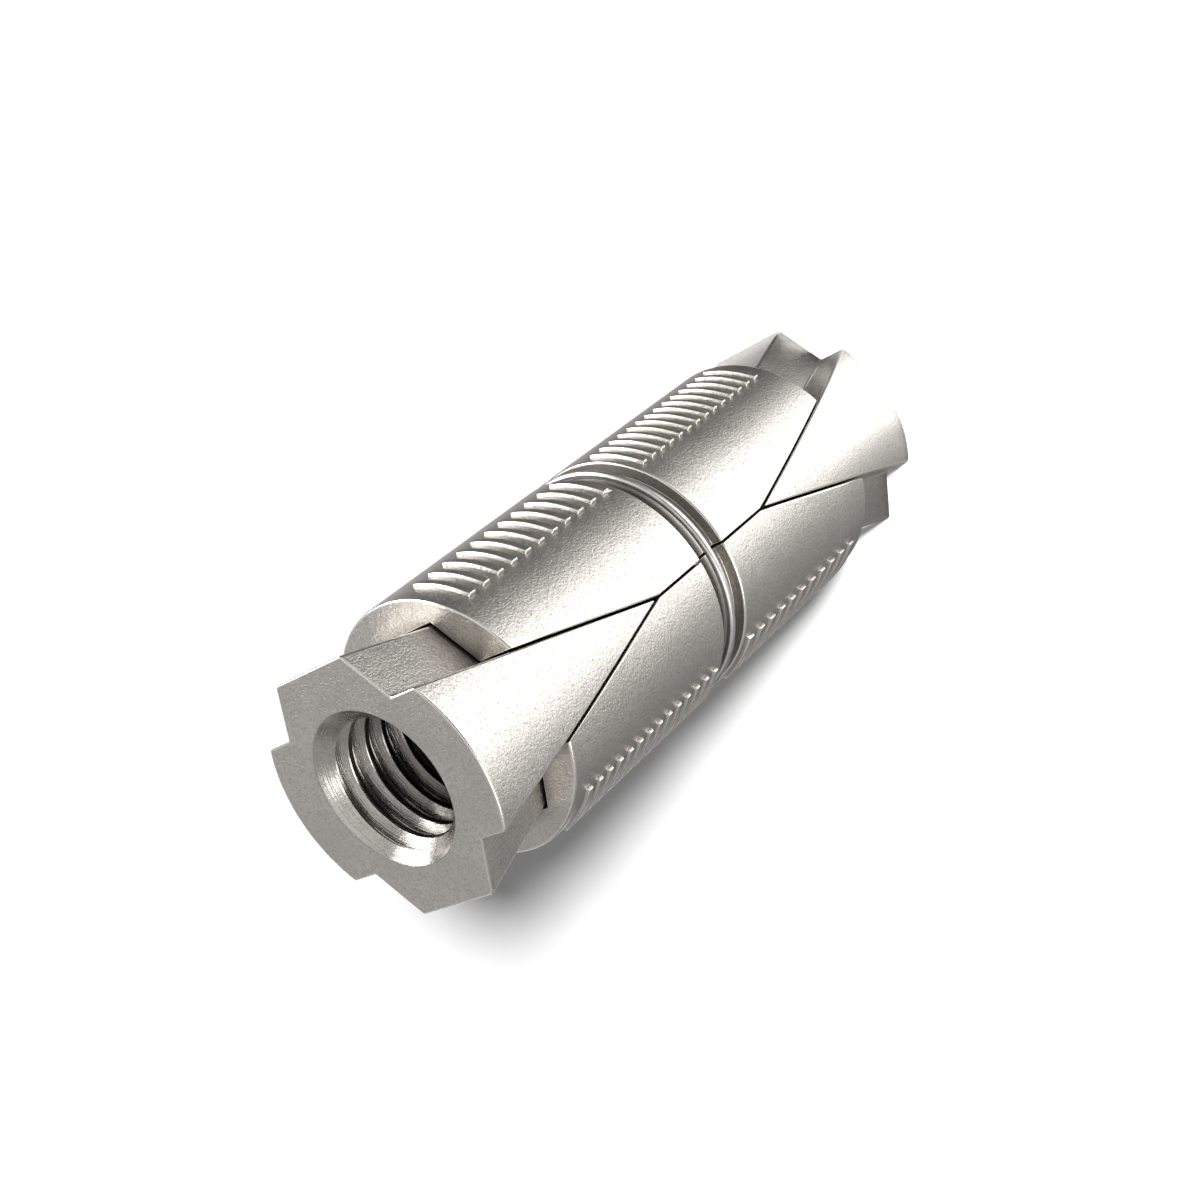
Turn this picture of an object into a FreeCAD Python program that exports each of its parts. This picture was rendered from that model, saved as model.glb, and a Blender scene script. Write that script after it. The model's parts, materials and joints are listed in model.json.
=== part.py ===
import FreeCAD, Part
import math
import os

# Double expansion anchor for a machine bolt, in millimetres.
# A bolt drawn through the plain cone pulls the threaded cone towards it.
# Both cones wedge the two half shells apart, against the wall of the drilled hole.
# Z runs along the anchor, with the threaded cone on top and the plain cone on z = 0.
# The seams between the half shells lie on X, and the shells move apart along Y.

# Whole anchor
BODY_D = 22.225
TOTAL_LENGTH = 63.5
SHELL_LENGTH = 46.2

# Cones: flats on Y, fins on X, all with the same taper
WEDGE_ANGLE_DEG = 14.6
FACET_ANGLE_DEG = 60.0
FLAT_WIDTH = 8.4
FIN_TIP_FROM_MIDDLE = 8.7
FIN_TIP_WIDTH = 0.12
THREADED_CORE_LENGTH = 12.3
PLAIN_CORE_LENGTH = 9.6

# Holes along the axis
BOLT_D = 12.7
BOLT_CLEARANCE_D = 0.8
THREAD_MINOR_D = 10.7
THREAD_MOUTH_D = 13.2
PLAIN_MOUTH_D = 15.1
MOUTH_ANGLE_DEG = 45.0

# Fits between the pieces
WEDGE_CLEARANCE = 0.2
SEAM_GAP = 0.2
CONE_TRAVEL = 1.1

# Ring in the middle groove
RING_WIRE_D = 0.68
RING_SINK = 0.03
RING_PLAY = 0.08
GROOVE_WIDTH = 3.35

# Raised ribs on each half shell: larger on one half of its length, finer on the other
RIB_HEIGHT = 0.3
RIB_ROOT = 0.4
RIB_DRAFT = 0.12
RIB_BAND_CENTRE_DEG = 27.0
RIB_BAND_SPAN_DEG = 28.0
LARGE_RIB_COUNT = 11
LARGE_RIB_WIDTH = 0.9
LARGE_RIB_PITCH = 1.78
FINE_RIB_COUNT = 14
FINE_RIB_WIDTH = 0.7
FINE_RIB_PITCH = 1.4
RIB_START = 2.9

# Values that follow from the ones above
BODY_R = BODY_D / 2
HALF_LENGTH = TOTAL_LENGTH / 2
HALF_SHELL = SHELL_LENGTH / 2
SLOPE = math.tan(math.radians(WEDGE_ANGLE_DEG))
FACET_SLOPE = math.tan(math.radians(FACET_ANGLE_DEG))
BOLT_HOLE_R = (BOLT_D + BOLT_CLEARANCE_D) / 2
FLAT_HALF = FLAT_WIDTH / 2
FLAT_LEVEL = math.sqrt(BODY_R ** 2 - FLAT_HALF ** 2)
TIP_HALF = FIN_TIP_WIDTH / 2
RING_WIRE_R = RING_WIRE_D / 2
RING_R = BODY_R - RING_SINK - RING_WIRE_R
SHELL_SPREAD = SLOPE * CONE_TRAVEL
GROOVE_DEPTH = RING_SINK + RING_WIRE_D + SHELL_SPREAD + RING_PLAY
REACH = BODY_D

ORIGIN = FreeCAD.Vector(0, 0, 0)
AXIS_X = FreeCAD.Vector(1, 0, 0)
AXIS_Z = FreeCAD.Vector(0, 0, 1)
MIDDLE = FreeCAD.Vector(0, 0, HALF_LENGTH)


def plate(points):
    """Flat face through corner points given as vectors."""
    return Part.Face(Part.makePolygon(points + [points[0]]))


def cylinder(radius, low, high):
    """Solid cylinder on the axis between two heights from the middle."""
    return Part.makeCylinder(radius, high - low, FreeCAD.Vector(0, 0, low), AXIS_Z)


def half_space(low_y, low_z, high_z):
    """Block that keeps what lies above low_y, between two heights."""
    corner = FreeCAD.Vector(-REACH, low_y, low_z)
    return Part.makeBox(2 * REACH, REACH, high_z - low_z, corner)


def wedge_core(clearance, low, high):
    """Tapered core with a flat and two facets on each side, grown by a clearance."""
    level = FLAT_LEVEL + clearance
    half = FLAT_HALF + clearance * math.tan(math.radians(FACET_ANGLE_DEG / 2))
    level_high = level + SLOPE * (high - HALF_LENGTH)
    foot = -SLOPE * (high - low)
    foot_half = half + (level_high - foot) / FACET_SLOPE
    corners = [(-foot_half, foot), (-half, level_high), (half, level_high), (foot_half, foot)]
    section = plate([FreeCAD.Vector(x, y, high) for x, y in corners])
    upper = section.extrude(FreeCAD.Vector(0, foot, low - high))
    upper = upper.common(half_space(0, low, high))
    lower = upper.mirror(ORIGIN, FreeCAD.Vector(0, 1, 0))
    return upper.fuse(lower)


def fin_wedge(clearance, low, high):
    """Tapered slab that makes both fins, grown by a clearance on each side."""
    def half_width(height):
        return TIP_HALF + clearance + SLOPE * (height - FIN_TIP_FROM_MIDDLE)

    corners = [
        (-half_width(low), low),
        (half_width(low), low),
        (half_width(high), high),
        (-half_width(high), high),
    ]
    side = plate([FreeCAD.Vector(-REACH, y, z) for y, z in corners])
    return side.extrude(FreeCAD.Vector(2 * REACH, 0, 0))


def mouth_cone(hole_r, mouth_r):
    """Funnel that chamfers a hole at the outer end of a cone."""
    depth = (mouth_r - hole_r) / math.tan(math.radians(MOUTH_ANGLE_DEG))
    base = FreeCAD.Vector(0, 0, HALF_LENGTH - depth)
    return Part.makeCone(hole_r, mouth_r, depth, base, AXIS_Z)


def cone(hole_r, mouth_r, core_length):
    """One expander cone with its wedge core, two fins and hole, flat end upwards."""
    core_end = HALF_LENGTH - core_length
    body = wedge_core(0, core_end, HALF_LENGTH)
    body = body.fuse(fin_wedge(0, FIN_TIP_FROM_MIDDLE, HALF_LENGTH))
    body = body.common(cylinder(BODY_R, 0, HALF_LENGTH))
    body = body.cut(cylinder(BOLT_HOLE_R, 0, core_end))
    body = body.cut(cylinder(hole_r, 0, HALF_LENGTH))
    body = body.cut(mouth_cone(hole_r, mouth_r))
    return body.removeSplitter()


def shell_tube():
    """Round tube with the ring groove round its middle."""
    floor_r = BODY_R - GROOVE_DEPTH
    half_groove = GROOVE_WIDTH / 2
    outline = [
        (BOLT_HOLE_R, -HALF_SHELL),
        (BODY_R, -HALF_SHELL),
        (BODY_R, -half_groove),
        (floor_r, -half_groove),
        (floor_r, half_groove),
        (BODY_R, half_groove),
        (BODY_R, HALF_SHELL),
        (BOLT_HOLE_R, HALF_SHELL),
    ]
    section = plate([FreeCAD.Vector(x, 0, z) for x, z in outline])
    return section.revolve(ORIGIN, AXIS_Z, 360)


def rib(width, middle):
    """One raised rib round part of the shell, with drafted sides."""
    root = BODY_R - RIB_ROOT
    top = BODY_R + RIB_HEIGHT
    half = width / 2
    profile = [
        (root, middle - half),
        (BODY_R, middle - half),
        (top, middle - half + RIB_DRAFT),
        (top, middle + half - RIB_DRAFT),
        (BODY_R, middle + half),
        (root, middle + half),
    ]
    section = plate([FreeCAD.Vector(x, 0, z) for x, z in profile])
    start = 90 - RIB_BAND_CENTRE_DEG - RIB_BAND_SPAN_DEG / 2
    section.rotate(ORIGIN, AXIS_Z, start)
    return section.revolve(ORIGIN, AXIS_Z, RIB_BAND_SPAN_DEG)


def shell_ribs():
    """Rows of ribs on both halves of one shell."""
    ribs = []
    for i in range(LARGE_RIB_COUNT):
        ribs.append(rib(LARGE_RIB_WIDTH, RIB_START + i * LARGE_RIB_PITCH))
    for i in range(FINE_RIB_COUNT):
        ribs.append(rib(FINE_RIB_WIDTH, -RIB_START - i * FINE_RIB_PITCH))
    return ribs


def half_shell():
    """Half shell on the +Y side, with a tapered pocket and fin notches at each end."""
    shell = shell_tube().common(half_space(SEAM_GAP / 2, -HALF_SHELL, HALF_SHELL))
    seam_width = TIP_HALF + WEDGE_CLEARANCE - SEAM_GAP / 2
    notch_tip = FIN_TIP_FROM_MIDDLE - seam_width / SLOPE
    pocket = wedge_core(WEDGE_CLEARANCE, 0, HALF_LENGTH)
    notch = fin_wedge(WEDGE_CLEARANCE, notch_tip, HALF_LENGTH)
    for tool in (pocket, notch):
        shell = shell.cut(tool)
        shell = shell.cut(tool.rotated(ORIGIN, AXIS_X, 180))
    shell = shell.fuse(shell_ribs())
    return shell.removeSplitter()


def retaining_ring():
    """Closed wire ring that holds the half shells together until they spread."""
    return Part.makeTorus(RING_R, RING_WIRE_R, MIDDLE, AXIS_Z)


def lift(shape):
    """Move a piece that was drawn about its middle up to its place over z = 0."""
    return shape.translated(MIDDLE)


def flip(shape):
    """Turn a piece end for end about X."""
    return shape.rotated(ORIGIN, AXIS_X, 180)


def main():
    threaded = cone(THREAD_MINOR_D / 2, THREAD_MOUTH_D / 2, THREADED_CORE_LENGTH)
    plain = cone(BOLT_HOLE_R, PLAIN_MOUTH_D / 2, PLAIN_CORE_LENGTH)
    shell = half_shell()
    pieces = {
        "threaded_cone": lift(threaded),
        "plain_cone": lift(flip(plain)),
        "half_shell_a": lift(shell),
        "half_shell_b": lift(flip(shell)),
        "retaining_ring": retaining_ring(),
    }
    os.makedirs("parts", exist_ok=True)
    for name, shape in pieces.items():
        print(name, shape.ShapeType, len(shape.Solids), shape.isValid(), round(shape.Volume, 2))
        shape.exportStep("parts/" + name + ".step")


main()
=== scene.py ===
"""Looks of a double expansion anchor: cast cones and half shells, a wire ring and a studio."""

import json
import math

import bmesh
import bpy
from bpy.props import FloatProperty, FloatVectorProperty, IntProperty, PointerProperty
from bpy.types import Operator, Panel, PropertyGroup
from mathutils import Matrix, Vector


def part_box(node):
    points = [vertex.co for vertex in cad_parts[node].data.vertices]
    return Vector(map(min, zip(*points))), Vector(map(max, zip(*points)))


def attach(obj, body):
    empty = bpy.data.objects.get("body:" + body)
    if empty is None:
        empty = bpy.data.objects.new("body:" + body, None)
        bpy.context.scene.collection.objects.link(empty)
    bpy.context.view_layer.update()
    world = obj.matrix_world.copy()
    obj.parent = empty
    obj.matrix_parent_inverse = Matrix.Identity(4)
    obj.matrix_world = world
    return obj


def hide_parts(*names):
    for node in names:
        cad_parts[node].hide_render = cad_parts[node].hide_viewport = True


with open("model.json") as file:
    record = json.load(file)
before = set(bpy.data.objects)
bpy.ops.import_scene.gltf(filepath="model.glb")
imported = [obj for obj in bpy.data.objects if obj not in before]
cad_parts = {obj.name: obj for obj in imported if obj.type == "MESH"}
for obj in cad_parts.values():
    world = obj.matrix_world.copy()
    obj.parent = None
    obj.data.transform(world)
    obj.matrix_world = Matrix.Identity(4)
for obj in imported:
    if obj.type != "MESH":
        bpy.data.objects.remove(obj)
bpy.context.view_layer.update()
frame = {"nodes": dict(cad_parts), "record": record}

bl_info = {
    "name": "Double Expansion Anchor",
    "version": (1, 0, 0),
    "blender": (4, 5, 0),
    "location": "3D View > Sidebar > Anchor",
    "description": "Dresses the cones, half shells and ring of an expansion anchor",
    "category": "Object",
}

MM = 0.001
WHITE = (1.0, 1.0, 1.0, 1.0)

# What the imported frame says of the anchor
MOUNTS = {mount["name"]: mount for mount in frame["record"]["mounts"]}
THREAD_MINOR_R = MOUNTS["bolt_thread"]["dims"]["r_mm"] * MM
BOLT_HOLE_R = MOUNTS["bolt_passage"]["dims"]["r_mm"] * MM
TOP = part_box("threaded_cone")[1].z
MIDDLE = TOP / 2
BODY_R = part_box("threaded_cone")[1].x
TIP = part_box("threaded_cone")[0].z - MIDDLE
SHELL_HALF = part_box("half_shell_a")[1].z - MIDDLE

# What the part's source says of it: the fins' taper and the band that the ribs take up
WEDGE_ANGLE = math.radians(14.6)
FIN_SLOPE = 2 * math.tan(WEDGE_ANGLE)
RIB_CENTRE = math.radians(27)
RIB_REACH = math.radians(15.5)
RIB_START = 2.5 * MM
RIB_END = 22.5 * MM

# How the solids are read: which points are one, and which faces and edges count as what
WELD_DISTANCE = 1e-7
FLAT_ANGLE = 0.004
EDGE_ANGLE = math.radians(28)
SHARP_ANGLE = math.radians(38)
ROUND_MATCH = math.cos(math.radians(12))
ON_SURFACE = 0.02 * MM
ON_END_FACE = 0.05 * MM
ON_RIB = 0.1 * MM
AT_SEAM = 0.3 * MM
AT_CONE_HOLE = 0.15 * MM
AT_SHELL_HOLE = 0.3 * MM
NORMAL_WEIGHT = 100
ROUNDED_SLOT = 1

# Distances from a fin's tip at which its edges are cut, so that their rounding can grow
TIP_STEPS = (0.3 * MM, 0.8 * MM, 1.5 * MM)

# Form of the thread and its mouth
CORNER_SHARE = 0.035
CREST_MARGIN = 0.012 * MM
CUTTER_START = TOP - 13.6 * MM
CUTTER_LENGTH = 15.2 * MM
MOUTH_OVERLAP = 0.3 * MM
MOUTH_STEPS = 160
RIM_ANGLES = (45, 35, 25, 15, 7)
HALF_CHAMFER = math.radians(22.5)

# Marks and painted shade on the castings: their sizes, and the distances over which they come and go
SKIN_SIZE = 0.9 * MM
SKIN_DEPTH = 0.02 * MM
CLOUD_SIZE = 4.0 * MM
TURNING_SIZE = 0.10 * MM
PAINTED_SHADE_REACH = 2.2 * MM
CREVICE_SHADE_REACH = 0.25 * MM
BORE_FADE = (0.05 * MM, 0.15 * MM)
BORE_DARKENS = (0.5 * MM, 9 * MM)
GROOVE_SIDE = (1.72 * MM, 1.62 * MM)
GROOVE_DEPTH = (0.25 * MM, 0.75 * MM)
RING_HALF = 0.2 * MM

# Marks on the wire, and the reach of its painted shade
LINE_SIZE = 0.05 * MM
LINE_DEPTH = 0.006 * MM
SPOT_SIZE = 0.8 * MM
WIRE_SHADE_REACH = 0.8 * MM

# Studio: turns and heights are in degrees, seen from the anchor's foot
LIT_SIDE = math.radians(11)
FLOOR_SIZE = 6.0
SENSOR_WIDTH = 36.0
NEAREST_SEEN = 0.01
KEY_FROM = (21.5, 38, 1.0)
KEY_SPREAD = math.radians(6.3)
GLINT_FROM, GLINT_SIZE = (-37, 38, 0.5), 0.28
SIDE_FROM, SIDE_SIZE = (113, 20, 0.25), 0.13
MOUTH_FROM, MOUTH_SIZE = (124, 24, 70 * MM), 54 * MM

# Reflector: strips that lie on the floor and then stand, each for two degrees of the anchor's side.
# The strips in the dark front stand higher than the others and are darker off the floor.
STRIP_TURNS = range(-84, 96, 2)
STRIP_LIFT = 0.1 * MM
STRIP_LENGTH = 0.7
CLOSE_START, START, CLOSE_UNTIL = 9 * MM, 11.6 * MM, 50
DARK_FRONT = (-8, 28)
DARK_RISES, DARK_MOST = (0.12, 0.78), 0.06
RISES, MOST = (0.15, 0.3), 0.4
BANDS = ((-90, 1.10), (-64, 0.90), (-58, 0.18), (-46, 0.22), (-24, 0.44), (-12, 0.85), (-3, 2.2),
         (21, 2.3), (30, 0.75), (40, 0.18), (70, 0.08), (82, 0.46), (96, 0.70))


def length(name, description, default):
    """Property of a length in metres."""
    return FloatProperty(name=name, description=description, default=default, min=0.0,
                         unit="LENGTH", precision=5)


def colour(name, description, default):
    """Property of a colour without alpha."""
    return FloatVectorProperty(name=name, description=description, default=default, size=3,
                               subtype="COLOR", min=0.0, max=1.0)


def amount(name, description, default, high=1.0):
    """Property of a plain number from 0 up."""
    return FloatProperty(name=name, description=description, default=default, min=0.0, max=high)


class ANCHOR_PG_casting(PropertyGroup):
    """Rounding that the die leaves on the castings."""
    edge_radius: length("Edge radius", "Rounding of the outer edges", 0.2 * MM)
    socket_radius: length("Socket radius", "Rounding of the edges inside the end faces", 0.12 * MM)
    seam_radius: length("Seam radius", "Rounding along the seam between the half shells", 0.07 * MM)
    rib_radius: length("Rib radius", "Rounding on top of the raised ribs", 0.08 * MM)
    tip_width: length("Tip width", "Width of a fin at its tip", 0.12 * MM)
    tip_round: amount("Tip rounding", "Share of a fin's width that is rounded near its tip", 0.3)
    segments: IntProperty(name="Segments", description="Steps in each rounded edge", default=3,
                          min=1, max=6)


class ANCHOR_PG_thread(PropertyGroup):
    """Thread of a half inch bolt with 13 turns to the inch."""
    pitch: length("Pitch", "Distance from turn to turn", 25.4 / 13 * MM)
    major_radius: length("Major radius", "Radius at the root of the groove", 6.35 * MM)
    crest_share: amount("Crest share", "Part of the pitch that is flat crest", 0.24)
    root_share: amount("Root share", "Part of the pitch that is flat root", 0.1)
    mouth_radius: length("Mouth radius", "Radius of the chamfer at the end face", 6.62 * MM)
    rim_radius: length("Rim radius", "Rounding between chamfer and end face", 0.22 * MM)
    columns: IntProperty(name="Columns", description="Steps round one turn", default=120, min=24)


class ANCHOR_PG_ring(PropertyGroup):
    """Wire ring in the groove round the middle."""
    wire_radius: length("Wire radius", "Radius of the wire", 0.34 * MM)
    turn_steps: IntProperty(name="Turn steps", description="Steps round the ring", default=256, min=32)
    wire_steps: IntProperty(name="Wire steps", description="Steps round the wire", default=20, min=8)


class ANCHOR_PG_metal(PropertyGroup):
    """Colours and grain of the zinc castings and of the wire, and the colour of their painted shade."""
    zinc: colour("Zinc", "Colour of the blasted zinc", (0.66, 0.628, 0.585))
    # The colour below is what painted shade darkens towards, in hollows, crevices, the groove, down the
    # bore and on the wire; it stands for shade, not for dull metal.
    painted_shade: colour("Hollow", "Colour of dull metal in hollows", (0.15, 0.135, 0.122))
    zinc_roughness: amount("Zinc roughness", "Roughness of the blasted zinc", 0.30)
    grain_size: length("Grain size", "Size of the blasted grain", 0.15 * MM)
    grain_depth: length("Grain depth", "Depth of the blasted grain", 0.031 * MM)
    pit_size: length("Pit size", "Distance between the pits", 0.27 * MM)
    wire: colour("Wire", "Colour of the drawn wire", (0.72, 0.70, 0.68))
    wire_roughness: amount("Wire roughness", "Roughness of the drawn wire", 0.24)


class ANCHOR_PG_studio(PropertyGroup):
    """Floor, light and camera."""
    floor_colour: colour("Floor colour", "Colour of the floor", (0.80, 0.80, 0.80))
    floor_glow: amount("Floor glow", "White added to the floor where it is seen", 0.06)
    world_strength: amount("World strength", "Brightness of the surroundings", 0.15, 10.0)
    world_reflection: amount("World reflection", "Brightness of the surroundings in the metal", 0.5, 10.0)
    world_front: amount("World front", "Brightness added in the metal on the lit side", 1.0, 10.0)
    key_strength: amount("Key strength", "Strength of the far main lamp", 5.9, 20.0)
    glint_power: amount("Glint power", "Power of the lamp that lights the edges in watts", 0.7, 100.0)
    side_power: amount("Side power", "Power of the side lamp in watts", 0.30, 100.0)
    mouth_power: amount("Mouth power", "Power of the lamp before the threaded hole in watts", 0.030, 1.0)
    azimuth: FloatProperty(name="Azimuth", description="Camera's turn about the anchor's axis",
                           default=math.radians(101.149), subtype="ANGLE")
    elevation: FloatProperty(name="Elevation", description="Camera's height angle",
                             default=math.radians(44.021), subtype="ANGLE")
    roll: FloatProperty(name="Roll", description="Camera's turn about its own view",
                        default=math.radians(-129.617), subtype="ANGLE")
    distance: length("Distance", "Camera's distance from its aim", 164.895 * MM)
    aim: FloatVectorProperty(name="Aim", description="Point at the middle of the picture",
                             default=(-1.353 * MM, 0.296 * MM, 33.060 * MM), size=3,
                             subtype="TRANSLATION", precision=5)
    lens: FloatProperty(name="Lens", description="Focal length in millimetres", default=58.871, min=1.0)


class Value:
    """A socket of a shader tree, on which arithmetic adds Math nodes."""

    def __init__(self, finish, socket):
        self.finish = finish
        self.socket = socket

    def maths(self, operation, *operands):
        """Math node with its operands in order."""
        return self.finish.node("ShaderNodeMath", {"operation": operation}, dict(enumerate(operands)))

    def __add__(self, other):
        return self.maths("ADD", self, other)

    def __sub__(self, other):
        return self.maths("SUBTRACT", self, other)

    def __rsub__(self, other):
        return self.maths("SUBTRACT", other, self)

    def __mul__(self, other):
        return self.maths("MULTIPLY", self, other)

    def __abs__(self):
        return self.maths("ABSOLUTE", self)

    __radd__ = __add__
    __rmul__ = __mul__


class Finish:
    """A material's node tree, built node by node."""

    def __init__(self, owner):
        owner.use_nodes = True
        self.tree = owner.node_tree
        self.tree.nodes.clear()

    def node(self, kind, settings=None, inputs=None, output=0):
        """Adds a node, sets it, then feeds its sockets, and returns one of its outputs."""
        made = self.tree.nodes.new(kind)
        for key, value in (settings or {}).items():
            setattr(made, key, value)
        for key, value in (inputs or {}).items():
            if isinstance(value, Value):
                self.tree.links.new(value.socket, made.inputs[key])
            else:
                made.inputs[key].default_value = value
        return Value(self, made.outputs[output]) if made.outputs else None

    def noise(self, place, size, detail=2.0):
        """Noise from 0 to 1 with features of one size in metres."""
        return self.node("ShaderNodeTexNoise", {},
                         {"Vector": place, "Scale": 1 / size, "Detail": detail})

    def ease(self, value, start, end):
        """Smooth step of a value: 0 at its start, 1 at its end."""
        return self.node("ShaderNodeMapRange", {"interpolation_type": "SMOOTHSTEP"},
                         {0: value, 1: start, 2: end})

    def blend(self, factor, first, second):
        """Mix of two colours."""
        return self.node("ShaderNodeMix", {"data_type": "RGBA"},
                         {0: factor, 6: first, 7: second}, output=2)

    def bump(self, height, distance, below=None):
        """Normal bent by a height that is given in parts of a distance."""
        inputs = {"Height": height, "Distance": distance}
        if below:
            inputs["Normal"] = below
        return self.node("ShaderNodeBump", {}, inputs)

    def open_air(self, reach, samples):
        """Share of the surroundings, out to a reach, that nothing stands before."""
        return self.node("ShaderNodeAmbientOcclusion", {"samples": samples}, {"Distance": reach},
                         output=1)

    def metal(self, tone, roughness, normal):
        """Surface of bare metal."""
        self.surface(self.node("ShaderNodeBsdfPrincipled", {},
                               {"Base Color": tone, "Metallic": 1.0, "Roughness": roughness,
                                "Normal": normal}))

    def round_axis(self, place):
        """Distance from the anchor's axis, and height along it."""
        across = self.node("ShaderNodeVectorMath", {"operation": "MULTIPLY"},
                           {0: place, 1: (1.0, 1.0, 0.0)})
        radius = self.node("ShaderNodeVectorMath", {"operation": "LENGTH"}, {0: across}, output=1)
        height = self.node("ShaderNodeSeparateXYZ", {}, {0: place}, output=2)
        return radius, height

    def surface(self, shader):
        """Puts a shader on the material's output."""
        self.node("ShaderNodeOutputMaterial", {}, {"Surface": shader})


def rgba(values, factor=1.0):
    """Colour with alpha, made lighter or darker by a factor."""
    return tuple(min(1.0, channel * factor) for channel in values) + (1.0,)


def blasted_zinc(metal):
    """Die-cast zinc: blasted grain, cloudy patches, a cut bore, rounded edges painted lighter as wear and
    as a painted highlight, and painted shade in hollows, crevices, the groove and down the bore.
    """
    material = bpy.data.materials.new("blasted_zinc")
    finish = Finish(material)
    place = finish.node("ShaderNodeTexCoord", output=3)
    radius, height = finish.round_axis(place)
    grain = finish.noise(place, metal.grain_size, detail=1.0)
    cells = finish.node("ShaderNodeTexVoronoi", {"feature": "SMOOTH_F1"},
                        {"Vector": place, "Scale": 1 / metal.grain_size, "Smoothness": 0.4}, output=1)
    speck = finish.node("ShaderNodeSeparateXYZ", {}, {0: cells})
    pits = finish.noise(place, metal.pit_size, detail=1.0)
    skin = finish.noise(place, SKIN_SIZE)
    clouds = finish.noise(place, CLOUD_SIZE, detail=3.0)
    edge = finish.node("ShaderNodeAttribute", {"attribute_name": "rounded_edge"}, output=2)
    open_air = finish.open_air(PAINTED_SHADE_REACH, samples=4)
    tight_air = finish.open_air(CREVICE_SHADE_REACH, samples=3)
    pit = finish.ease(pits, 0.62, 0.74)
    bore = finish.ease(radius, BOLT_HOLE_R - BORE_FADE[0], BOLT_HOLE_R - BORE_FADE[1])
    depth = bore * finish.ease(height, TOP - BORE_DARKENS[0], TOP - BORE_DARKENS[1])
    by_ring = finish.ease(abs(height - MIDDLE), *GROOVE_SIDE)
    groove = by_ring * finish.ease(radius, BODY_R - GROOVE_DEPTH[0], BODY_R - GROOVE_DEPTH[1])
    above_ring = finish.ease(height, MIDDLE - RING_HALF, MIDDLE + RING_HALF)
    below_ring = groove * (1 - above_ring)
    # Painted shade where the surroundings are hidden nearby, in hollows, corners and round the ribs, less
    # on the bore and on the groove's side below the ring.
    painted_shade = finish.ease(open_air, 0.80, 0.25) * (1 - 0.7 * bore) * (1 - 0.6 * below_ring)
    # Painted shade in tight crevices, such as the seams and the feet of the ribs, less on the bore.
    crevice_shade = finish.ease(tight_air, 0.80, 0.40) * (1 - 0.8 * bore)

    tone = finish.blend(finish.ease(clouds, 0.3, 0.7), rgba(metal.zinc, 0.95), rgba(metal.zinc, 1.05))
    tone = finish.blend(finish.ease(speck, 0.15, 0.65), rgba(metal.zinc, 0.86), tone)
    tone = finish.blend(pit * 0.35, tone, rgba(metal.zinc, 0.40))
    # Painted shade in the ring's groove, stronger above the ring than below it.
    tone = finish.blend(groove * (0.2 + 0.6 * above_ring), tone, rgba(metal.painted_shade, 1.25))
    # Tone darkened by the painted shade in hollows, less on rounded edges.
    tone = finish.blend(painted_shade * (0.85 - 0.5 * edge), tone, rgba(metal.painted_shade, 0.9))
    # The cut bore is a little darker all over, and painted shade deepens down the threaded hole.
    tone = finish.blend(bore * 0.30 + depth * 0.65, tone, rgba(metal.painted_shade))
    # Rounded edges painted lighter: partly wear, partly a painted highlight.
    tone = finish.blend(edge * 0.6, tone, rgba(metal.zinc, 1.4))
    # Tone darkened by the painted shade in crevices, less on rounded edges.
    tone = finish.blend(crevice_shade * (0.8 - 0.5 * edge), tone, rgba(metal.painted_shade, 0.4))
    roughness = (metal.zinc_roughness + 0.08 * clouds - 0.08 * edge
                 + 0.12 * painted_shade + 0.06 * groove - 0.12 * bore)

    swell = finish.bump(skin, SKIN_DEPTH)
    turning = finish.noise(finish.node("ShaderNodeCombineXYZ", {}, {0: radius, 1: height}), TURNING_SIZE)
    blasted = 0.35 * grain + 0.5 * speck - 0.4 * pit
    blasted = blasted * (1 - 0.8 * bore) * (1 - 0.6 * groove) * (1 - 0.8 * edge)
    bent = finish.bump(blasted + turning * bore * 0.6, metal.grain_depth, below=swell)
    finish.metal(tone, roughness, bent)
    return material


def drawn_wire(metal):
    """Spring wire with fine lines along its length."""
    material = bpy.data.materials.new("drawn_wire")
    finish = Finish(material)
    place = finish.node("ShaderNodeTexCoord", output=3)
    radius, height = finish.round_axis(place)
    section = finish.node("ShaderNodeCombineXYZ", {}, {0: radius, 1: height})
    lines = finish.noise(section, LINE_SIZE)
    spots = finish.noise(place, SPOT_SIZE, detail=3.0)
    # Painted shade on the wire where the groove's walls are close.
    painted_shade = finish.ease(finish.open_air(WIRE_SHADE_REACH, samples=4), 0.85, 0.35)
    tone = finish.blend(finish.ease(spots, 0.35, 0.7), rgba(metal.wire), rgba(metal.wire, 0.82))
    tone = finish.blend(painted_shade * 0.8, tone, rgba(metal.painted_shade))
    finish.metal(tone, metal.wire_roughness + 0.16 * spots, finish.bump(lines, LINE_DEPTH))
    return material


def finish_of(name, make):
    """Material of a slot, made once."""
    return bpy.data.materials.get(name) or make(bpy.context.scene.anchor_metal)


def add_form(name, form):
    """Object in the scene made from a form, which is freed."""
    mesh = bpy.data.meshes.new(name)
    form.to_mesh(mesh)
    form.free()
    piece = bpy.data.objects.new(name, mesh)
    bpy.context.scene.collection.objects.link(piece)
    return piece


def solid_of(node):
    """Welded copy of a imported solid, with its flat faces joined."""
    source = frame["nodes"][node].data
    mesh = bpy.data.meshes.new(node + "_form")
    mesh.from_pydata([v.co for v in source.vertices], [], [p.vertices[:] for p in source.polygons])
    form = bmesh.new()
    form.from_mesh(mesh)
    bpy.data.meshes.remove(mesh)
    bmesh.ops.remove_doubles(form, verts=form.verts, dist=WELD_DISTANCE)
    even_strips(form)
    bmesh.ops.dissolve_limit(form, angle_limit=FLAT_ANGLE, verts=form.verts, edges=form.edges)
    return form


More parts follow.
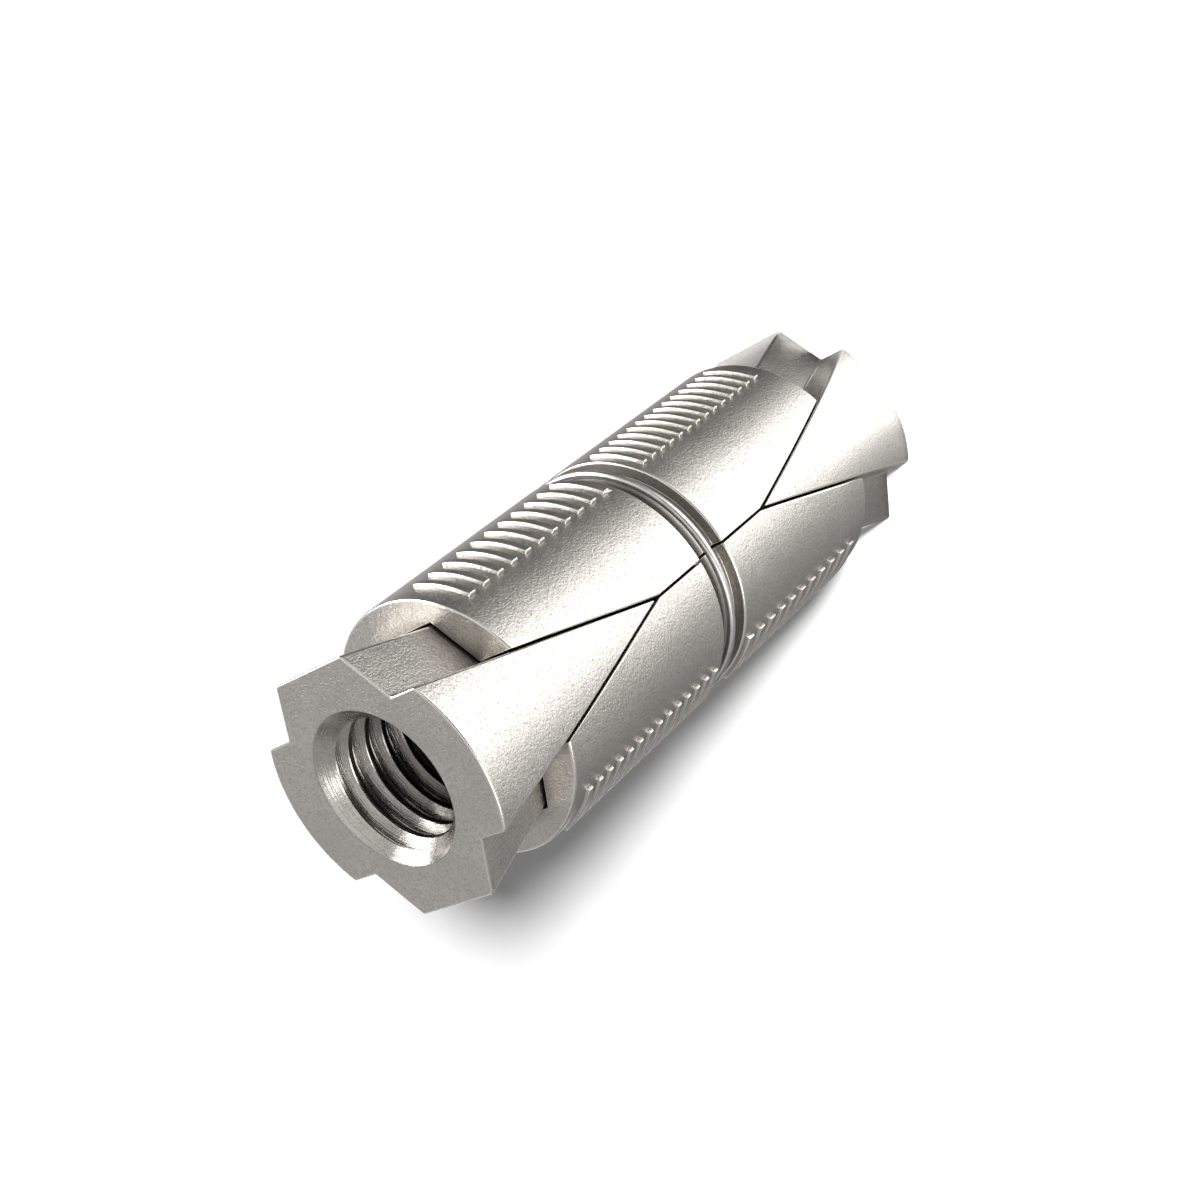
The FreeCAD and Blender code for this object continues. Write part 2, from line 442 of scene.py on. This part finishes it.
def in_rib_band(point):
    """Whether a point of the outside is where the ribs are."""
    beside = math.atan2(point.x, abs(point.y)) - RIB_CENTRE
    return abs(beside) < RIB_REACH and RIB_START < abs(point.z - MIDDLE) < RIB_END


def lies_between_ribs(face):
    """Whether a face is part of a strip of the outside between ribs."""
    return all(abs(from_axis(v.co) - BODY_R) < ON_SURFACE and in_rib_band(v.co) for v in face.verts)


def even_strips(form):
    """Turns the long edges across the strips between ribs, so that the strips follow the round."""
    strips = {face for face in form.faces if lies_between_ribs(face)}
    inside = [edge for edge in form.edges
              if len(edge.link_faces) == 2 and strips.issuperset(edge.link_faces)]
    if inside:
        bmesh.ops.beautify_fill(form, faces=list(strips), edges=inside, method="AREA")


def cut_across(form, heights):
    """Divides a form where planes across the axis meet it."""
    for height in heights:
        everything = list(form.verts) + list(form.edges) + list(form.faces)
        bmesh.ops.bisect_plane(form, geom=everything, plane_co=(0, 0, height), plane_no=(0, 0, 1))


def from_axis(point):
    """Distance of a point from the anchor's axis."""
    return math.hypot(point.x, point.y)


def soften(name, form, rounding, casting):
    """Rounds each sharp edge by the radius that a rule gives it, and marks the rounded faces."""
    widest = max(casting.edge_radius, casting.rib_radius)
    weights = form.edges.layers.float.new("bevel_weight_edge")
    for edge in form.edges:
        if edge.calc_face_angle(0.0) > EDGE_ANGLE:
            edge[weights] = min(1.0, rounding(edge) / widest)
    piece = add_form(name, form)
    for _ in range(ROUNDED_SLOT + 1):
        piece.data.materials.append(None)
    bevel = piece.modifiers.new("Rounded edges", "BEVEL")
    bevel.limit_method = "WEIGHT"
    bevel.width = widest
    bevel.segments = casting.segments
    bevel.use_clamp_overlap = False
    bevel.material = ROUNDED_SLOT
    keep_evaluated(piece)
    mark = piece.data.attributes.new("rounded_edge", "FLOAT", "CORNER")
    for face in piece.data.polygons:
        for corner in face.loop_indices:
            mark.data[corner].value = float(face.material_index == ROUNDED_SLOT)
        face.material_index = 0
    return piece


def keep_evaluated(piece):
    """Replaces an object's mesh by what its modifiers make of it."""
    seen = piece.evaluated_get(bpy.context.evaluated_depsgraph_get())
    mesh = bpy.data.meshes.new_from_object(seen, preserve_all_data_layers=True,
                                           depsgraph=bpy.context.evaluated_depsgraph_get())
    piece.modifiers.clear()
    piece.data = mesh


def carve(piece, cutter):
    """Takes a closed cutter out of a piece."""
    cut = piece.modifiers.new("Cut", "BOOLEAN")
    cut.operation = "DIFFERENCE"
    cut.solver = "EXACT"
    cut.object = cutter
    keep_evaluated(piece)
    bpy.data.objects.remove(cutter)


def shade(piece):
    """Smooth shading that keeps flat faces flat and sharp edges sharp."""
    piece.data.shade_smooth()
    piece.data.set_sharp_from_angle(angle=SHARP_ANGLE)
    even = piece.modifiers.new("Even shading", "WEIGHTED_NORMAL")
    even.keep_sharp = True
    even.weight = NORMAL_WEIGHT
    keep_evaluated(piece)
    true_round(piece)


def true_round(piece):
    """Points the normals of the turned outside straight away from the axis, whatever its facets are."""
    mesh = piece.data
    normals = []
    for corner, shown in zip(mesh.loops, mesh.corner_normals):
        point = mesh.vertices[corner.vertex_index].co
        out = Vector((point.x, point.y, 0)).normalized()
        turned_part = from_axis(point) > BODY_R - ON_SURFACE and out.dot(shown.vector) > ROUND_MATCH
        normals.append(out if turned_part else shown.vector.copy())
    mesh.normals_split_custom_set(normals)


def dress(piece, material, body, node):
    """Gives a piece its material, hangs it under its body's empty, and hides the imported part that it
    replaces.
    """
    piece.data.materials.clear()
    piece.data.materials.append(material)
    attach(piece, body)
    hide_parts(node)


def dress_casting(piece, body, node):
    """Shades a casting and dresses it in blasted zinc."""
    shade(piece)
    dress(piece, finish_of("blasted_zinc", blasted_zinc), body, node)


def cone_rounding(casting):
    """Rule for the edges of a cone, which are rounded less towards the tips of its fins."""
    def rounding(edge):
        ends = [vertex.co for vertex in edge.verts]
        if max(from_axis(end) for end in ends) < BOLT_HOLE_R + AT_CONE_HOLE:
            return 0.0
        from_tip = min(abs(end.z - MIDDLE) for end in ends) - TIP
        width = casting.tip_width + FIN_SLOPE * max(0.0, from_tip)
        return min(casting.edge_radius, casting.tip_round * width)

    return rounding


def shell_rounding(casting):
    """Rule for the edges of a half shell: ribs, seam, outer edges and socket."""
    def rounding(edge):
        ends = [vertex.co for vertex in edge.verts]
        radii = [from_axis(end) for end in ends]
        if max(radii) > BODY_R + ON_RIB:
            return casting.rib_radius
        if min(radii) > BODY_R - ON_SURFACE:
            if all(in_rib_band(end) for end in ends):
                return 0.0
            if max(abs(end.y) for end in ends) < AT_SEAM:
                return casting.seam_radius
            return casting.edge_radius
        if min(radii) < BOLT_HOLE_R + AT_SHELL_HOLE:
            return 0.0
        if abs(min(abs(end.z - MIDDLE) for end in ends) - SHELL_HALF) < ON_END_FACE:
            return casting.socket_radius
        return casting.seam_radius

    return rounding


def thread_profile(thread):
    """One turn's places and radii along the axis: crest, groove, and rounded corners between them."""
    shallow = THREAD_MINOR_R + CREST_MARGIN
    flank = (1 - thread.crest_share - thread.root_share) / 2
    corners = [
        (0.0, shallow),
        (thread.crest_share, shallow),
        (thread.crest_share + flank, thread.major_radius),
        (thread.crest_share + flank + thread.root_share, thread.major_radius),
    ]
    rows = []
    for index, (place, radius) in enumerate(corners):
        before = corners[index - 1]
        after = corners[(index + 1) % len(corners)]
        last_place = before[0] - (1 if index == 0 else 0)
        next_place = after[0] + (1 if index == len(corners) - 1 else 0)
        in_slope = (radius - before[1]) / (place - last_place)
        out_slope = (after[1] - radius) / (next_place - place)
        rows.append((place - CORNER_SHARE, radius - in_slope * CORNER_SHARE))
        rows.append((place, radius + (out_slope - in_slope) * CORNER_SHARE / 4))
        rows.append((place + CORNER_SHARE, radius + out_slope * CORNER_SHARE))
    return rows


def thread_cutter(thread):
    """Closed form like a bolt, whose outside is the thread's groove."""
    rows = thread_profile(thread)
    per_turn = len(rows)
    turns = math.ceil(CUTTER_LENGTH / thread.pitch) + 1
    columns = thread.columns
    form = bmesh.new()
    grid = []
    for column in range(columns):
        angle = 2 * math.pi * column / columns
        side = []
        for row in range(per_turn * turns + 1):
            place, radius = rows[row % per_turn]
            height = CUTTER_START + (row // per_turn + place + column / columns) * thread.pitch
            side.append(form.verts.new((radius * math.cos(angle), radius * math.sin(angle), height)))
        grid.append(side)
    count = len(grid[0])
    for column in range(columns):
        wrap = column == columns - 1
        here = grid[column]
        there = grid[0] if wrap else grid[column + 1]
        lift = per_turn if wrap else 0
        for row in range(count - 1):
            if row + 1 + lift < count:
                form.faces.new((here[row], there[row + lift], there[row + 1 + lift], here[row + 1]))
    for end in (0, count - 1):
        if end == 0:
            loop = [side[0] for side in grid] + [grid[0][row] for row in range(per_turn, 0, -1)]
        else:
            loop = [side[end] for side in grid]
            loop = [grid[-1][row] for row in range(count - 1 - per_turn, count - 1)] + loop[::-1]
        hub = form.verts.new((0, 0, sum(v.co.z for v in loop) / len(loop)))
        for first, second in zip(loop, loop[1:] + loop[:1]):
            form.faces.new((first, second, hub))
    bmesh.ops.recalc_face_normals(form, faces=form.faces)
    return add_form("thread_cutter", form)


def turned(name, outline, steps):
    """Closed form turned about the axis from an outline of radius and height."""
    form = bmesh.new()
    rings = []
    for radius, height in outline:
        rings.append([form.verts.new((radius * math.cos(2 * math.pi * s / steps),
                                      radius * math.sin(2 * math.pi * s / steps), height))
                      for s in range(steps)])
    for lower, upper in zip(rings, rings[1:]):
        for s in range(steps):
            after = (s + 1) % steps
            form.faces.new((lower[s], lower[after], upper[after], upper[s]))
    form.faces.new(rings[0][::-1])
    form.faces.new(rings[-1])
    bmesh.ops.recalc_face_normals(form, faces=form.faces)
    return add_form(name, form)


def mouth_cutter(thread):
    """Funnel that chamfers the threaded hole, with a rounded rim at the end face."""
    start = THREAD_MINOR_R - MOUTH_OVERLAP
    rim = thread.rim_radius
    outline = [(start, TOP - (thread.mouth_radius - start))]
    rim_middle = thread.mouth_radius + rim * math.tan(HALF_CHAMFER)
    for angle in RIM_ANGLES:
        turn = math.radians(angle)
        outline.append((rim_middle - rim * math.sin(turn), TOP - rim * (1 - math.cos(turn))))
    outline.append((outline[-1][0], TOP + MM))
    return turned("mouth_cutter", outline, MOUTH_STEPS)


class ANCHOR_OT_threaded_cone(Operator):
    """Threaded cone with rounded edges, a cut thread and a chamfered mouth"""
    bl_idname = "anchor.threaded_cone"
    bl_label = "Threaded Cone"

    def execute(self, context):
        casting = context.scene.anchor_casting
        form = solid_of("threaded_cone")
        cut_across(form, [MIDDLE + TIP + step for step in TIP_STEPS])
        piece = soften("threaded_cone_casting", form, cone_rounding(casting), casting)
        carve(piece, thread_cutter(context.scene.anchor_thread))
        carve(piece, mouth_cutter(context.scene.anchor_thread))
        dress_casting(piece, "threaded_end", "threaded_cone")
        return {"FINISHED"}


class ANCHOR_OT_plain_cone(Operator):
    """Plain cone with rounded edges"""
    bl_idname = "anchor.plain_cone"
    bl_label = "Plain Cone"

    def execute(self, context):
        casting = context.scene.anchor_casting
        form = solid_of("plain_cone")
        cut_across(form, [MIDDLE - TIP - step for step in TIP_STEPS])
        piece = soften("plain_cone_casting", form, cone_rounding(casting), casting)
        dress_casting(piece, "plain_end", "plain_cone")
        return {"FINISHED"}


class ANCHOR_OT_half_shells(Operator):
    """Both half shells, with raised ribs and rounded edges"""
    bl_idname = "anchor.half_shells"
    bl_label = "Half Shells"

    def execute(self, context):
        casting = context.scene.anchor_casting
        for side in "ab":
            piece = soften(f"half_shell_{side}_casting", solid_of(f"half_shell_{side}"),
                           shell_rounding(casting), casting)
            dress_casting(piece, f"shell_{side}", f"half_shell_{side}")
        return {"FINISHED"}


class ANCHOR_OT_retaining_ring(Operator):
    """Wire ring that holds the half shells together"""
    bl_idname = "anchor.retaining_ring"
    bl_label = "Retaining Ring"

    def execute(self, context):
        ring = context.scene.anchor_ring
        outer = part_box("retaining_ring")[1].x
        turn_r = outer - ring.wire_radius
        form = bmesh.new()
        hoops = []
        for turn in range(ring.turn_steps):
            angle = 2 * math.pi * turn / ring.turn_steps
            out = Vector((math.cos(angle), math.sin(angle), 0))
            hoop = []
            for step in range(ring.wire_steps):
                round_wire = 2 * math.pi * step / ring.wire_steps
                spot = out * (turn_r + ring.wire_radius * math.cos(round_wire))
                spot.z = MIDDLE + ring.wire_radius * math.sin(round_wire)
                hoop.append(form.verts.new(spot))
            hoops.append(hoop)
        for here, there in zip(hoops, hoops[1:] + hoops[:1]):
            for step in range(ring.wire_steps):
                after = (step + 1) % ring.wire_steps
                form.faces.new((here[step], there[step], there[after], here[after]))
        piece = add_form("retaining_ring_wire", form)
        piece.data.shade_smooth()
        dress(piece, finish_of("drawn_wire", drawn_wire), "ring", "retaining_ring")
        return {"FINISHED"}


class ANCHOR_OT_stage(Operator):
    """Pale floor, lamps, reflector and the camera"""
    bl_idname = "anchor.stage"
    bl_label = "Stage"

    def execute(self, context):
        studio = context.scene.anchor_studio
        self.add_floor(studio)
        self.add_light(studio)
        self.add_camera(studio)
        context.scene.view_settings.view_transform = "Standard"
        return {"FINISHED"}

    def add_floor(self, studio):
        """Floor of pale paint, with a little white added where it is seen."""
        bpy.ops.mesh.primitive_plane_add(size=FLOOR_SIZE, location=(0, 0, 0))
        floor = bpy.context.active_object
        floor.name = "floor"
        material = bpy.data.materials.new("pale_floor")
        finish = Finish(material)
        paint = finish.node("ShaderNodeBsdfDiffuse", {}, {"Color": rgba(studio.floor_colour)})
        camera = finish.node("ShaderNodeLightPath", output=0)
        glossy = finish.node("ShaderNodeLightPath", output=3)
        through = finish.node("ShaderNodeLightPath", output=6)
        shown = (camera + glossy + through) * studio.floor_glow
        glow = finish.node("ShaderNodeEmission", {}, {"Color": WHITE, "Strength": shown})
        finish.surface(finish.node("ShaderNodeAddShader", {}, {0: paint, 1: glow}))
        floor.data.materials.append(material)

    def add_light(self, studio):
        """Surroundings, a far main lamp, and three lamps and a reflector that only the metal shows."""
        world = bpy.data.worlds.new("studio")
        bpy.context.scene.world = world
        finish = Finish(world)
        camera = finish.node("ShaderNodeLightPath", output=0)
        glossy = finish.node("ShaderNodeLightPath", output=3)
        place = finish.node("ShaderNodeTexCoord", output=0)
        lit = finish.node("ShaderNodeVectorMath", {"operation": "DOT_PRODUCT"},
                          {0: place, 1: (math.cos(LIT_SIDE), math.sin(LIT_SIDE), 0.0)}, output=1)
        front = finish.node("ShaderNodeMath", {"operation": "MAXIMUM"}, {0: lit, 1: 0.0})
        in_metal = front * studio.world_front + studio.world_reflection - studio.world_strength
        strength = studio.world_strength + camera * (1 - studio.world_strength) + glossy * in_metal
        background = finish.node("ShaderNodeBackground", {}, {"Color": WHITE, "Strength": strength})
        finish.node("ShaderNodeOutputWorld", {}, {"Surface": background})
        middle = Vector((0, 0, MIDDLE))
        mouth = Vector((0, 0, TOP))
        key = self.add_lamp("key", "SUN", self.toward(*KEY_FROM), middle,
                            {"energy": studio.key_strength, "angle": KEY_SPREAD})
        key.visible_glossy = False
        for name, place, aim, size, power in (
            ("glint", self.toward(*GLINT_FROM), middle, GLINT_SIZE, studio.glint_power),
            ("side", self.toward(*SIDE_FROM), middle, SIDE_SIZE, studio.side_power),
            ("mouth", mouth + self.toward(*MOUTH_FROM), mouth, MOUTH_SIZE, studio.mouth_power),
        ):
            disk = {"shape": "DISK", "size": size, "energy": power}
            self.add_lamp(name, "AREA", place, aim, disk).visible_diffuse = False
        self.add_reflector()

    def add_reflector(self):
        """Card round the anchor that only its reflections show, with a brightness for each side of it."""
        form = bmesh.new()
        level = form.verts.layers.float.new("level")
        last = None
        for turn in STRIP_TURNS:
            start = CLOSE_START if turn < CLOSE_UNTIL else START
            out = Vector((math.cos(math.radians(turn)), math.sin(math.radians(turn)), 0)) * start
            seen = 2 * math.radians(turn) - LIT_SIDE
            far = out + Vector((math.cos(seen), math.sin(seen), 0)) * STRIP_LENGTH
            in_front = DARK_FRONT[0] <= turn <= DARK_FRONT[1]
            rises, most = (DARK_RISES, DARK_MOST) if in_front else (RISES, MOST)
            column = [form.verts.new(out + Vector((0, 0, STRIP_LIFT))), form.verts.new(far)]
            column += [form.verts.new(far + Vector((0, 0, rise))) for rise in rises]
            for row, vertex in enumerate(column):
                vertex[level] = min(most if row > 1 else math.inf, self.band_level(turn))
            if last:
                for row in range(len(rises) + 1):
                    form.faces.new((last[row], last[row + 1], column[row + 1], column[row]))
            last = column
        card = add_form("reflector", form)
        material = bpy.data.materials.new("reflector")
        finish = Finish(material)
        shine = finish.node("ShaderNodeAttribute", {"attribute_name": "level"}, output=2)
        finish.surface(finish.node("ShaderNodeEmission", {}, {"Color": WHITE, "Strength": shine}))
        card.data.materials.append(material)
        card.visible_camera = False
        card.visible_diffuse = False
        card.visible_transmission = False
        card.visible_shadow = False

    @staticmethod
    def band_level(turn):
        """Brightness that the side of the anchor at an angle sees in the card."""
        for (start, low), (end, high) in zip(BANDS, BANDS[1:]):
            if start <= turn <= end:
                return low + (high - low) * (turn - start) / (end - start)
        return BANDS[-1][1]

    @staticmethod
    def toward(azimuth, elevation, distance):
        """Place at a distance from the foot, by its turn and height in degrees."""
        turn, height = math.radians(azimuth), math.radians(elevation)
        return distance * Vector((math.cos(turn) * math.cos(height),
                                  math.sin(turn) * math.cos(height), math.sin(height)))

    def add_lamp(self, name, kind, place, aim, settings):
        """Lamp of a kind that shines from a place to its aim."""
        lamp = bpy.data.lights.new(name, kind)
        for key, value in settings.items():
            setattr(lamp, key, value)
        holder = bpy.data.objects.new(name, lamp)
        holder.location = place
        holder.rotation_euler = (aim - place).to_track_quat("-Z", "Y").to_euler()
        holder.visible_camera = False
        bpy.context.scene.collection.objects.link(holder)
        return holder

    def add_camera(self, studio):
        """Camera that sees the standing anchor as if it lay before the viewer."""
        side = Vector((math.cos(studio.azimuth), math.sin(studio.azimuth), 0))
        level = Vector((math.sin(studio.azimuth), -math.cos(studio.azimuth), 0))
        back = level * math.cos(studio.elevation) + Vector((0, 0, math.sin(studio.elevation)))
        top = back.cross(side)
        right = side * math.cos(studio.roll) + top * math.sin(studio.roll)
        up = back.cross(right)
        camera = bpy.data.objects.new("camera", bpy.data.cameras.new("camera"))
        camera.data.lens = studio.lens
        camera.data.sensor_width = SENSOR_WIDTH
        camera.data.clip_start = NEAREST_SEEN
        turn = Matrix((right, up, back)).transposed().to_4x4()
        camera.matrix_world = Matrix.Translation(Vector(studio.aim) + back * studio.distance) @ turn
        bpy.context.scene.collection.objects.link(camera)
        bpy.context.scene.camera = camera


class ANCHOR_PT_build(Panel):
    """Steps and settings of the anchor"""
    bl_idname = "ANCHOR_PT_build"
    bl_label = "Expansion Anchor"
    bl_space_type = "VIEW_3D"
    bl_region_type = "UI"
    bl_category = "Anchor"

    def draw(self, context):
        for step in STEPS:
            self.layout.operator(step.bl_idname)
        for name in SETTINGS:
            group = getattr(context.scene, name)
            box = self.layout.box()
            for key in group.bl_rna.properties.keys():
                if key not in ("rna_type", "name"):
                    box.prop(group, key)


STEPS = (
    ANCHOR_OT_threaded_cone,
    ANCHOR_OT_plain_cone,
    ANCHOR_OT_half_shells,
    ANCHOR_OT_retaining_ring,
    ANCHOR_OT_stage,
)
SETTINGS = {
    "anchor_casting": ANCHOR_PG_casting,
    "anchor_thread": ANCHOR_PG_thread,
    "anchor_ring": ANCHOR_PG_ring,
    "anchor_metal": ANCHOR_PG_metal,
    "anchor_studio": ANCHOR_PG_studio,
}
CLASSES = tuple(SETTINGS.values()) + STEPS + (ANCHOR_PT_build,)


def register():
    for cls in CLASSES:
        bpy.utils.register_class(cls)
    for name, group in SETTINGS.items():
        setattr(bpy.types.Scene, name, PointerProperty(type=group))


def unregister():
    for name in SETTINGS:
        delattr(bpy.types.Scene, name)
    for cls in reversed(CLASSES):
        bpy.utils.unregister_class(cls)


def main():
    """Builds every piece and the stage."""
    register()
    bpy.ops.anchor.threaded_cone()
    bpy.ops.anchor.plain_cone()
    bpy.ops.anchor.half_shells()
    bpy.ops.anchor.retaining_ring()
    bpy.ops.anchor.stage()


if __name__ == "__main__":
    main()
